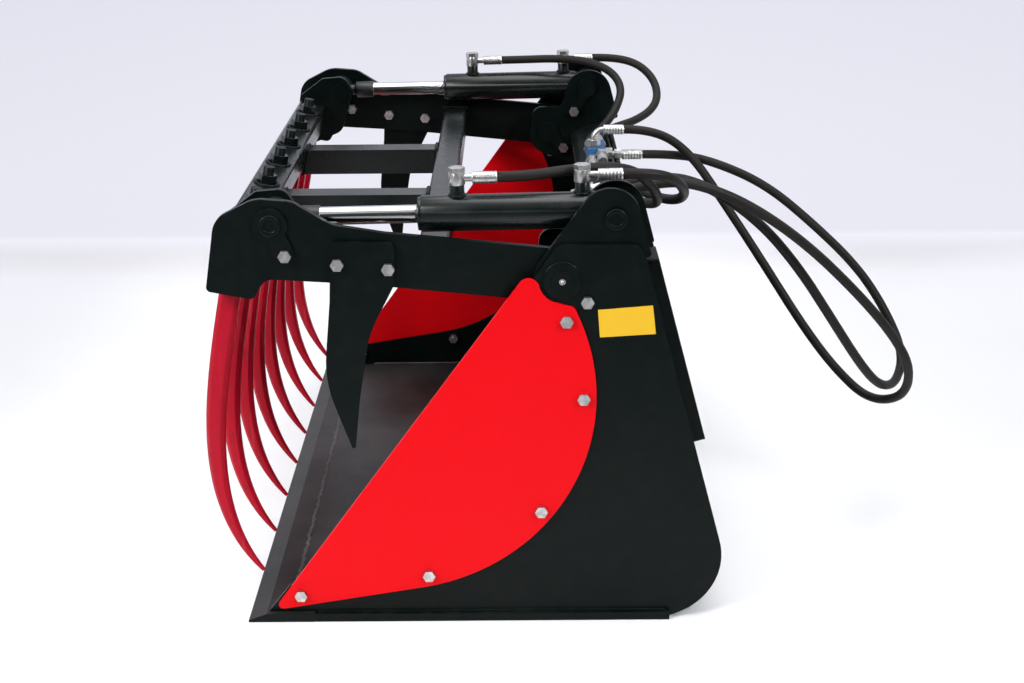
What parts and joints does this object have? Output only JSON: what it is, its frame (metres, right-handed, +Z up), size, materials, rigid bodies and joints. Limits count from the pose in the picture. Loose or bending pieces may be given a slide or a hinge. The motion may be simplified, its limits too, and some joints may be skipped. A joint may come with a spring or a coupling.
{
  "type": "silage grab bucket",
  "caption": "Loader bucket with a hydraulic tine grab that closes over its mouth, side guards, side knives and tapped strips for the hooks of a front loader.",
  "frame": {"origin": "on the ground, at the centre of the closed bucket's outline seen from above, without the hoses", "axes": "+Z up, -X out of the mouth, +X towards the loader, +Y along the cutting edge; left is -Y"},
  "size_m": [1.298, 1.225, 0.7903],
  "materials": {
    "black_paint": "semi-gloss black paint, slightly dusty",
    "red_powder": "semi-gloss bright red powder coat",
    "crimson_paint": "satin crimson paint on forged steel",
    "worn_steel": "dark bare steel with mill scale",
    "zinc": "bright zinc plating",
    "chrome_rod": "hard chrome, polished",
    "blue_block": "satin blue paint",
    "hose_rubber": "matt wrapped rubber hose"
  },
  "bodies": {
    "bucket": {"cutting_edge": "worn_steel", "shell_sheet": "black_paint", "floor_skids": "worn_steel", "wear_bars": "worn_steel", "side_plate_left": "black_paint", "side_plate_right": "black_paint", "side_guard_left": "red_powder", "side_guard_right": "red_powder", "side_plate_bolts": "zinc", "cylinder_ear_outer_left": "black_paint", "cylinder_ear_outer_right": "black_paint", "cylinder_ear_inner_left": "black_paint", "cylinder_ear_inner_right": "black_paint", "rear_cross_member": "black_paint", "hitch_strip_left": "black_paint", "hitch_strip_right": "black_paint", "pivot_pins": "black_paint", "base_pins": "black_paint", "pin_lock_bolts": "zinc", "manifold_block": "blue_block", "manifold_fittings": "zinc", "coupler_holder": "black_paint", "quick_couplers": "zinc", "rod_hose_left": "hose_rubber", "rod_hose_right": "hose_rubber", "base_hose_left": "hose_rubber", "base_hose_right": "hose_rubber", "feed_hose_1": "hose_rubber", "feed_hose_2": "hose_rubber"},
    "grab": {"grab_arm_left": "black_paint", "grab_arm_right": "black_paint", "nose_ears": "black_paint", "front_beam": "black_paint", "tine_nuts": "black_paint", "cross_tube": "black_paint", "frame_tubes": "black_paint", "side_knife_left": "black_paint", "side_knife_right": "black_paint", "arm_bolts": "zinc", "rod_pin_flags": "black_paint", "tine_1": "crimson_paint", "tine_2": "crimson_paint", "tine_3": "crimson_paint", "tine_4": "crimson_paint", "tine_5": "crimson_paint", "tine_6": "crimson_paint", "tine_7": "crimson_paint", "tine_8": "crimson_paint"},
    "cylinder_left": {"barrel_left": "black_paint", "gland_left": "black_paint", "banjo_fittings_left": "zinc"},
    "cylinder_right": {"barrel_right": "black_paint", "gland_right": "black_paint", "banjo_fittings_right": "zinc"},
    "piston_rod_left": {"rod_left": "chrome_rod", "rod_pin_left": "zinc", "piston_left": "chrome_rod"},
    "piston_rod_right": {"rod_right": "chrome_rod", "rod_pin_right": "zinc", "piston_right": "chrome_rod"}
  },
  "joints": [
    {"name": "grab_hinge", "type": "hinge", "parent": "bucket", "child": "grab", "pos_m": [0.16, 0, 0.615], "axis": [0, 1, 0], "range_deg": [0, 65]},
    {"name": "cylinder_pivot_left", "type": "hinge", "parent": "bucket", "child": "cylinder_left", "pos_m": [0.246, -0.5325, 0.715], "axis": [0, 1, 0], "range_deg": [0, 61.86], "deforming": ["rod_hose_left", "base_hose_left"]},
    {"name": "rod_slide_left", "type": "slide", "parent": "cylinder_left", "child": "piston_rod_left", "axis": [0.9998, 0, 0.018], "range_m": [0, 0.1393]},
    {"name": "cylinder_pivot_right", "type": "hinge", "parent": "bucket", "child": "cylinder_right", "pos_m": [0.246, 0.5325, 0.715], "axis": [0, 1, 0], "range_deg": [0, 61.86], "deforming": ["rod_hose_right", "base_hose_right"]},
    {"name": "rod_slide_right", "type": "slide", "parent": "cylinder_right", "child": "piston_rod_right", "axis": [0.9998, 0, 0.018], "range_m": [0, 0.1393]}
  ],
  "couplings": [
    {"joint": "cylinder_pivot_left", "follows": "grab_hinge", "ratio": 0.95167},
    {"joint": "rod_slide_left", "follows": "grab_hinge", "m_per_rad": 0.12277},
    {"joint": "cylinder_pivot_right", "follows": "grab_hinge", "ratio": 0.95167},
    {"joint": "rod_slide_right", "follows": "grab_hinge", "m_per_rad": 0.12277}
  ]
}
